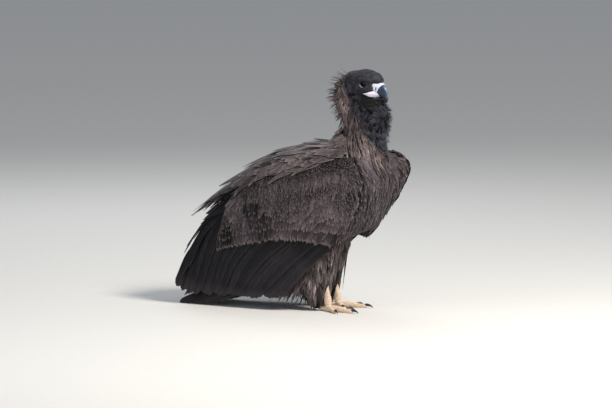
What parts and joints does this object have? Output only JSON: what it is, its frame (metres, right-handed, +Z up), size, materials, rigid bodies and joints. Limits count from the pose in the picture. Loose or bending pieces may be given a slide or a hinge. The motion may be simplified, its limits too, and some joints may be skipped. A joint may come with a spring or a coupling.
{
  "type": "cinereous vulture model",
  "caption": "Life-size still model of a young cinereous vulture standing alert, wings drooping to the ground behind it, head turned to its right.",
  "frame": {"origin": "on the ground, under the middle of the bounding box, a little behind the feet", "axes": "+Z up, the bird faces -Y, +X is the bird's left side"},
  "size_m": [0.3332, 0.774, 0.7998],
  "materials": {
    "plumage": "dark brown contour feathers, matt, with paler worn edges",
    "flight_feathers": "blackish flight feathers with a faint blue-grey sheen",
    "ruff": "paler brown lance-shaped feathers, matt",
    "down": "short velvety blackish down, very matt",
    "bill_horn": "dark slate-blue horn, smooth with a soft gloss",
    "cere": "bare pale lilac to pinkish white skin",
    "leg_skin": "pale pinkish cream scaly skin",
    "claw": "blackish horn, worn smooth",
    "eye": "dark brown iris under a wet clear surface"
  },
  "bodies": {
    "root": {"head": "down", "neck": "down", "ruff": "ruff", "trunk": "plumage", "tail": "flight_feathers", "cere": "cere", "bill_upper": "bill_horn", "bill_lower": "cere", "eye_right": "eye", "eye_left": "eye", "wing_right_scapulars": "plumage", "wing_right_coverts": "plumage", "wing_right_secondaries": "flight_feathers", "wing_right_primaries": "flight_feathers", "thigh_right": "plumage", "foot_right": "leg_skin", "claw_right_inner": "claw", "claw_right_middle": "claw", "claw_right_outer": "claw", "claw_right_hind": "claw", "wing_left_scapulars": "plumage", "wing_left_coverts": "plumage", "wing_left_secondaries": "flight_feathers", "wing_left_primaries": "flight_feathers", "thigh_left": "plumage", "foot_left": "leg_skin", "claw_left_inner": "claw", "claw_left_middle": "claw", "claw_left_outer": "claw", "claw_left_hind": "claw"}
  },
  "joints": []
}
